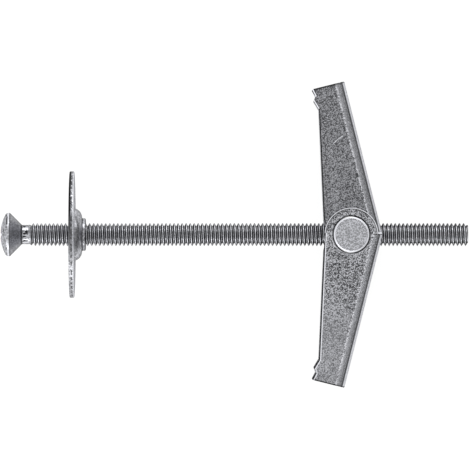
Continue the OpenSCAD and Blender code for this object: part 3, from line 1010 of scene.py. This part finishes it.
def mark_boss(metal, from_axis):
    """Dark seam and collar lip, dull boss with painted shade at its top, and the chalky flat round it."""
    tree, lip_x = metal.tree, face_x + collar_height
    in_collar = between(tree, from_axis, collar_r + 0.3, collar_r + 0.2)
    seam = line_at(tree, metal.x, face_x + boss_height + 0.06, 0.16, 0.08, 0.85)
    metal.cover(times(tree, in_collar, seam), grey(0.03), 0.5)
    lip = between(tree, metal.x, lip_x - 0.2, lip_x - 0.12, 0.0, 0.7)
    metal.cover(times(tree, in_collar, lip), grey(0.04), 0.5)
    on_boss = between(tree, from_axis, boss_r + 0.3, boss_r - 0.1)
    # Painted shade: the boss darkens towards its top.
    metal.cover(times(tree, on_boss, between(tree, metal.z, 2.4, 4.0, 0.12, 0.6)), grey(0.17))
    off_boss = between(tree, from_axis, boss_r, boss_r + 0.4)
    chalky = times(tree, off_boss, between(tree, metal.x, face_x - 0.12, face_x - 0.04), 0.72)
    metal.cover(chalky, tinted(tree, metal.tone, grey(0.66), grey(1.0)), 0.4, metallic=0.3)


def washer_finish():
    zinc = {"Grain per mm": 5.5, "Contrast": 1.9, "Clouds": 0.4, "Pits": 0.26, "Flecks": 0.06}
    metal = Metal("washer plating", light=0.85, dark=0.36, roughness=0.30, zinc=zinc)
    from_axis = hypot(metal.tree, metal.y, metal.z)
    mark_rim(metal, from_axis)
    mark_boss(metal, from_axis)
    return metal.done(bump=0.5)


washer_plating = washer_finish()

# %% [markdown]
# The nut's ends are turned and plated evenly. Their chamfers are drawn pale and partly non-metallic, a
# painted highlight that shows as a bright ring.

# %% Nut finish
def nut_finish():
    zinc = {"Grain per mm": 6.0, "Contrast": 2.0, "Clouds": 0.15, "Pits": 0.08, "Flecks": 0.05}
    metal = Metal("nut plating", light=0.90, dark=0.42, roughness=0.42, zinc=zinc)
    from_pivot, chamfer_r = hypot(metal.tree, metal.x, metal.y), nut_r - nut_chamfer
    turned = between(metal.tree, from_pivot, chamfer_r - 0.04, chamfer_r)
    # Painted highlight: a pale ring on the chamfer.
    metal.cover(turned, grey(0.96), 0.35, metallic=0.45)
    return metal.done(bump=0.4)


nut_plating = nut_finish()

# %% [markdown]
# The wings' sheet is plated darker and more speckled than the turned parts. The folding tool presses each
# bend smooth, and three lines are drawn along it: a painted sheen near its outer edge, a dark line of
# painted shade, and a painted highlight where the bend starts.
# Both wings are the same pressing, so they share this finish, and each shows its other side from above.
# The side with the large ear is calmer and paler towards its tip.

# %% Wing finish: panels and bends
def mark_panels(metal):
    """A coarse dark mottle, calmer on the pressed bends and towards the tip of one side."""
    tree = metal.tree
    pressed = between(tree, metal.x, flat_x - 0.1, flat_x + 0.1)
    smooth = times(tree, between(tree, metal.y, 8.0, 18.0), metal.ear_side)
    calm = calc(tree, "MAXIMUM", pressed, smooth)
    metal.steer("Contrast", between(tree, calm, 0.0, 1.0, 2.75, 1.3))
    metal.steer("Pits", between(tree, calm, 0.0, 1.0, 0.3, 0.04))
    metal.cover(between(tree, metal.ear_side, 0.0, 1.0, 0.42, 0.0), grey(0.16))
    metal.cover(times(tree, metal.zinc.outputs["Fleck mask"], 0.5), grey(0.95))
    metal.cover(times(tree, smooth, 0.3), grey(0.55))
    metal.cover(times(tree, pressed, 0.5), grey(0.56), 0.16)


def mark_bends(metal):
    """Painted sheen, painted shade and a painted highlight along the bends, broken up by the crystals."""
    tree = metal.tree
    on_bend = between(tree, metal.from_plane, half - bend_r - 0.3, half - bend_r + 0.3)
    uneven = between(tree, metal.tone, 0.1, 0.6, 0.75, 1.05)
    # Painted sheen: a pale line near the bend's outer edge.
    painted_bend_sheen = times(tree, between(tree, metal.x, flat_x + 1.12, flat_x + 1.24), on_bend, uneven, 0.75)
    metal.cover(painted_bend_sheen, grey(0.85), 0.4, metallic=0.2)
    # Painted highlight: a pale line where the bend starts.
    brightened = line_at(tree, metal.x, flat_x - 0.05, 0.2, 0.1, 0.65)
    brightened = times(tree, brightened, between(tree, metal.tone, 0.0, 0.5))
    metal.cover(brightened, grey(0.95), 0.4, metallic=0.3)
    # Painted shade: a dark line along the bend.
    painted_bend_shade = line_at(tree, metal.x, flat_x + 1.03, 0.16, 0.06)
    metal.cover(times(tree, painted_bend_shade, on_bend, 0.8), grey(0.05), 0.5)


# %% [markdown]
# Round the ears a painted highlight follows the edge, with a dark line of painted shade nearer to it; the
# closeness of the edge draws both at a distance of some tenths of a millimetre. The lower half of the large
# ear gets its two rings from the distance to the pivot instead, so that they stay thin and round. Round the
# nut the hole's rim is in shadow. The short butt edge beside the slit is drawn bright on one side.

# %% Wing finish: ears
def mark_ears(metal):
    tree, edge = metal.tree, metal.wear.outputs["Edge"]
    from_pivot = hypot(tree, metal.x, metal.y)
    low_half = between(tree, reach(tree, metal.place, (0.22, 1.0, 0.0)), 0.0, -0.2)
    low_half = times(tree, low_half, metal.ear_side, metal.on_skin)
    # Painted highlight along the ears' edges.
    painted_edge_highlight = times(
        tree, between(tree, edge, 0.08, 0.14), between(tree, metal.ear_side, 0.0, 1.0, 0.15, 0.95),
        between(tree, from_pivot, 3.6, 4.1, 0.35, 1.0), rest_of(tree, low_half),
        between(tree, metal.y, wing_length - 0.6, wing_length - 0.8), metal.flat,
    )
    metal.cover(painted_edge_highlight, grey(0.98), 0.4, metallic=0.1)
    butt = times(tree, between(tree, metal.x, flat_x, flat_x + 0.1), between(tree, metal.y, 1.2, 0.6))
    # Painted shade: a dark line close to the edge, left out at the butt.
    metal.cover(times(tree, between(tree, edge, 0.22, 0.28), rest_of(tree, butt)), grey(0.02), 0.5)
    shiny = times(tree, between(tree, edge, 0.1, 0.2), butt, between(tree, metal.z, 1.0, 2.0))
    metal.cover(shiny, grey(0.98), 0.4, metallic=0.1)
    metal.cover(between(tree, from_pivot, nut_r + 0.26, nut_r + 0.16, 0.0, 0.85), grey(0.03), 0.5)
    # Painted shade and painted highlight: a dark ring and a pale ring on the lower half of the large ear.
    inner_shade_ring = between(tree, from_pivot, ear_r - 0.34, ear_r - 0.26, 0.0, 0.5)
    metal.cover(times(tree, inner_shade_ring, low_half), grey(0.05), 0.5)
    outer_highlight_ring = between(tree, from_pivot, ear_r - 0.18, ear_r - 0.11, 0.0, 0.8)
    metal.cover(times(tree, outer_highlight_ring, low_half), grey(0.98), 0.4, metallic=0.1)


# %% [markdown]
# The straight edges of the blank are sheared one by one, and two thin lines are drawn beside each, of
# painted highlight and painted shade. Which of them is bright and which is dark is listed for each side, so
# the two sides of a wing differ. A loop goes along the edges of the outline that the punch used. Dark lines
# stay metallic, because a dark plastic-like surface would still shine pale at a low angle.

# %% Wing finish: sheared edges and a scratch
# Tones of the lines: a painted highlight and painted shade, each with its Metallic.
bright, dark = (grey(0.98), 0.1), (grey(0.03), 1.0)
web_corner, ear_tangent = Vector((wing_back, wing_length)), ear_r * edge_normal
# Each edge: its ends, its outer and inner line on the plain side and on the ear side, and the inner
# line's share on both sides.
sheared_edges = [
    (web_corner, tip_corner, (dark, dark), (dark, dark), (0.0, 0.0)),
    (tip_corner, tooth_notch, (bright, dark), (dark, bright), (0.9, 0.9)),
    (tooth_tip, tooth_foot, (bright, dark), (dark, bright), (0.9, 0.9)),
    (tooth_foot, ear_tangent, (dark, dark), (dark, bright), (0.0, 0.7)),
]


def mark_sheared(metal):
    tree, ear_side = metal.tree, metal.ear_side
    for start, end, outer_tones, inner_tones, inner_shares in sheared_edges:
        run, span = (end - start).normalized(), (end - start).length
        inward = Vector((-run.y, run.x))
        depth = calc(tree, "SUBTRACT", reach(tree, metal.place, (*inward, 0)), start.dot(inward))
        length = calc(tree, "SUBTRACT", reach(tree, metal.place, (*run, 0)), start.dot(run))
        beside = times(
            tree, between(tree, length, -0.2, -0.1), between(tree, length, span + 0.12, span + 0.04),
            metal.flat, metal.on_skin,
        )
        inner_share = between(tree, ear_side, 0.0, 1.0, *inner_shares)
        inner_line = times(tree, beside, between(tree, depth, 0.38, 0.30), inner_share)
        outer_line = times(tree, beside, between(tree, depth, 0.23, 0.16))
        # Each line is a painted highlight or painted shade.
        for line, tones in ((inner_line, inner_tones), (outer_line, outer_tones)):
            (plain, plain_metal), (other, other_metal) = tones
            shine = between(tree, ear_side, 0.0, 1.0, plain_metal, other_metal)
            metal.cover(line, tinted(tree, ear_side, plain, other), 0.4, metallic=shine)


def mark_scratch(metal):
    """A curved scratch on one panel, from the stamping: part of a circle with a given middle and radius."""
    tree, (middle_x, middle_y), radius = metal.tree, (4.4, 10.9), 6.3
    off_x, off_y = calc(tree, "SUBTRACT", metal.x, middle_x), calc(tree, "SUBTRACT", metal.y, middle_y)
    scratch = line_at(tree, hypot(tree, off_x, off_y), radius, 0.10, 0.03, 0.8)
    one_side = between(tree, metal.z, 1.0, 2.0)
    stretch = times(tree, within(tree, metal.x, 0.95, 2.6, 0.2), between(tree, metal.y, 10.0, 12.0))
    scratch = times(tree, scratch, one_side, stretch)
    metal.cover(scratch, grey(0.95), 0.4, metallic=0.2)


def wing_finish():
    zinc = {"Grain per mm": 7.0, "Contrast": 1.7, "Clouds": 0.25, "Pits": 0.12, "Flecks": 0.1}
    metal = Metal("wing plating", light=0.82, dark=0.08, roughness=0.38, zinc=zinc, worn=0.0)
    for socket in ("Edge mm", "Corner mm"):
        metal.wear.inputs[socket].default_value = 0.5
    # Masks that its marks share: the side with the large ear, the flat panels, and the sheet's outer skin.
    metal.ear_side = between(metal.tree, metal.z, 1.0, -1.0)
    metal.flat = between(metal.tree, metal.x, flat_x + 0.3, flat_x)
    metal.from_plane = calc(metal.tree, "ABSOLUTE", metal.z)
    metal.on_skin = between(metal.tree, metal.from_plane, half - 0.3, half - 0.16)
    for mark in (mark_panels, mark_bends, mark_ears, mark_sheared, mark_scratch):
        mark(metal)
    return metal.done(bump=0.8)


wing_plating = wing_finish()

# %% [markdown]
# The spring's wire is drawn and hardly shows, so the plain recipe does. With that, every piece takes the
# finish whose slot it named.

# %% Wire finish, and a finish for every piece
zinc = {"Grain per mm": 5.0, "Contrast": 0.8, "Clouds": 0.2, "Pits": 0.1, "Flecks": 0.0}
spring_wire = Metal("spring wire", light=0.60, dark=0.30, roughness=0.28, zinc=zinc).done(bump=0.3)
finishes = {
    "screw_plating": screw_plating, "washer_plating": washer_plating, "nut_plating": nut_plating,
    "wing_plating": wing_plating, "spring_wire": spring_wire,
}
for made in [screw, washer, nut, *wings, *springs]:
    made.data.materials.append(finishes[made["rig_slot"]])
print("finishes:", sorted(finishes))

# %% [markdown]
# ## Table
# The bolt lies on a plain pale table. The table shows white to the camera, from a glow that only those rays
# see, and the rest of its light is ordinary shading, so a soft shadow stays. In the metal it shows by how
# far the reflected ray has gone: dark right under the bolt, where the bolt shades it, pale a little further
# out, and dim far off. Seen from below it is clear, so the underside of the bolt can be looked at too.

# %% Table
WHITE, SHADE_SHARE = 1.13, 0.2
UNDERNEATH, MIRRORED, FAR_OFF = 0.12, 0.85, 0.35
SHADED_TO, OPEN_FROM, DIM_FROM, DIM_TO = 8 * MM, 20 * MM, 70 * MM, 150 * MM
table_bm = bmesh.new()
bmesh.ops.create_circle(table_bm, cap_ends=True, radius=6, segments=64)
table_mesh = bpy.data.meshes.new("table")
table_bm.to_mesh(table_mesh)
table_bm.free()
table = bpy.data.objects.new("table", table_mesh)
table.location.z = cad_box[0].z
bpy.context.scene.collection.objects.link(table)
print("table at", round(table.location.z, 5))

# %% Paint of the table
paint = bpy.data.materials.new("pale table")
paint.use_nodes = True
tree = paint.node_tree
tree.nodes.clear()
ray = put(tree, "ShaderNodeLightPath").outputs
mirrored = calc(tree, "MAXIMUM", ray["Is Glossy Ray"], ray["Is Transmission Ray"])
in_mirror = times(
    tree, between(tree, ray["Ray Length"], SHADED_TO, OPEN_FROM, UNDERNEATH, MIRRORED),
    between(tree, ray["Ray Length"], DIM_FROM, DIM_TO, 1.0, FAR_OFF),
)
strength = blend(tree, mirrored, WHITE, in_mirror)
share = calc(tree, "ADD", times(tree, ray["Is Camera Ray"], 1 - SHADE_SHARE), mirrored, clamp=True)
matt = put(tree, "ShaderNodeBsdfDiffuse", {"Color": (0.9, 0.9, 0.9, 1)})
glow = put(tree, "ShaderNodeEmission", {"Color": (1, 1, 1, 1), "Strength": strength})
top_side = put(tree, "ShaderNodeMixShader", {0: share, 1: matt.outputs[0], 2: glow.outputs[0]})
clear = put(tree, "ShaderNodeBsdfTransparent")
from_below = put(tree, "ShaderNodeNewGeometry").outputs["Backfacing"]
both = put(tree, "ShaderNodeMixShader", {0: from_below, 1: top_side.outputs[0], 2: clear.outputs[0]})
put(tree, "ShaderNodeOutputMaterial", {"Surface": both.outputs[0]})
table.data.materials.append(paint)
print(f"paint of the table: {len(tree.nodes)} nodes")

# %% [markdown]
# ## Light
# Shiny metal shows its surroundings more than its own colour. The room is pale on both sides of the screw
# and behind its head, dark beyond its free end, and dim right overhead, where the camera stands. A round
# screw then shows a dark line along its middle and bright sides, and each turn of the thread has one pale
# and one dark flank, which is what makes it easy to read. Three lists say how bright the room is from the
# horizon (0) to straight up (1): ahead of the free end, behind the head, and to both sides. Matt surfaces
# get one soft, even light instead, and the camera sees plain white.

# %% Room
OVERHEAD = 0.45
AHEAD = [
    (0.0, 0.03), (0.22, 0.05), (0.45, 0.32), (0.80, 0.42), (0.90, 0.55), (0.935, 0.95), (0.975, 0.90),
    (0.995, OVERHEAD),
]
BEHIND = [(0.0, 0.85), (0.60, 0.70), (0.90, 0.62), (0.99, OVERHEAD)]
ASIDE = [(0.0, 1.05), (0.35, 1.10), (0.55, 0.60), (0.72, 0.28), (0.88, 0.42), (0.97, 0.50), (0.99, OVERHEAD)]
NEAR_SIDE, FAR_SIDE, SOFT_FILL = 1.15, 0.95, 0.85
world = bpy.data.worlds.new("room")
bpy.context.scene.world = world
world.use_nodes = True
tree = world.node_tree
tree.nodes.clear()


def steps_of(tree, value, stops):
    """Levels at given places of a value, with straight lines between them."""
    ramp = put(tree, "ShaderNodeValToRGB", {0: value})
    while len(ramp.color_ramp.elements) < len(stops):
        ramp.color_ramp.elements.new(0.5)
    for element, (place, level) in zip(ramp.color_ramp.elements, stops):
        element.position = place
        element.color = (level, level, level, 1)
    return ramp.outputs[0]


direction = put(tree, "ShaderNodeTexCoord").outputs["Generated"]
up, ahead, aside = [reach(tree, direction, axis) for axis in (along_pivot, along_screw, across)]
off_vertical = calc(tree, "SQRT", calc(tree, "SUBTRACT", 1.001, calc(tree, "POWER", up, 2.0)))
compass = calc(tree, "DIVIDE", ahead, off_vertical)
levels = tinted(
    tree, between(tree, compass, 0.2, 0.8), steps_of(tree, up, ASIDE), steps_of(tree, up, AHEAD),
)
levels = tinted(tree, between(tree, compass, -0.2, -0.8), levels, steps_of(tree, up, BEHIND))
level = put(tree, "ShaderNodeRGBToBW", {0: levels}).outputs[0]
level = times(tree, level, between(tree, aside, -0.5, 0.5, NEAR_SIDE, FAR_SIDE))
ray = put(tree, "ShaderNodeLightPath").outputs
level = blend(tree, ray["Is Diffuse Ray"], level, SOFT_FILL)
level = blend(tree, ray["Is Camera Ray"], level, 1.0)
room = put(tree, "ShaderNodeBackground", {"Color": (1, 1, 1, 1), "Strength": level})
put(tree, "ShaderNodeOutputWorld", {"Surface": room.outputs[0]})
print(f"room: {len(tree.nodes)} nodes")

# %% [markdown]
# Two weak soft boxes stand low on both sides of the bolt. They light the matt table and give the long
# bends and the washer's rim a gentle streak, without raising the level of the whole.

# %% Soft boxes
BOX_DISTANCE, BOX_WIDTH, BOX_HEIGHT, BOX_ELEVATION = 1.1, 1.2, 0.4, math.radians(25)


def soft_box(name, azimuth, power):
    """A rectangular lamp that faces the bolt; azimuth is measured from +X towards +Y."""
    lamp = bpy.data.lights.new(name, "AREA")
    lamp.shape, lamp.size, lamp.size_y, lamp.energy = "RECTANGLE", BOX_WIDTH, BOX_HEIGHT, power
    made = bpy.data.objects.new(name, lamp)
    a, e = math.radians(azimuth), BOX_ELEVATION
    away = Vector((math.cos(a) * math.cos(e), math.sin(a) * math.cos(e), math.sin(e)))
    made.location = away * BOX_DISTANCE
    made.rotation_euler = away.to_track_quat("Z", "Y").to_euler()
    made.visible_camera = False
    bpy.context.scene.collection.objects.link(made)
    return made


lamps = [soft_box("far box", 60, 3.2), soft_box("near box", -118, 2.8)]
print("lamps:", ", ".join(lamp.name for lamp in lamps))

# %% [markdown]
# ## Camera
# A long lens looks straight at the wings, along their pivot, from more than a metre away. That keeps the
# bolt almost free of perspective. Only the washer, near the edge of the view, shows a sliver of its face.

# %% Camera
VIEW_WIDTH, VIEW_DISTANCE, VIEW_MIDDLE = 81.83, 1180.0, Vector((-20.2, -0.08, 0))
target = lying @ VIEW_MIDDLE
lens = bpy.data.cameras.new("camera")
lens.sensor_width = 36
lens.lens = lens.sensor_width * VIEW_DISTANCE / VIEW_WIDTH
lens.clip_start, lens.clip_end = 0.01, 20
camera = bpy.data.objects.new("camera", lens)
camera.matrix_world = Matrix.Translation(target + along_pivot * VIEW_DISTANCE * MM) @ axes
bpy.context.scene.collection.objects.link(camera)
bpy.context.scene.camera = camera
bpy.context.scene.view_settings.view_transform = "Standard"
print(f"lens of {lens.lens:.0f} mm")
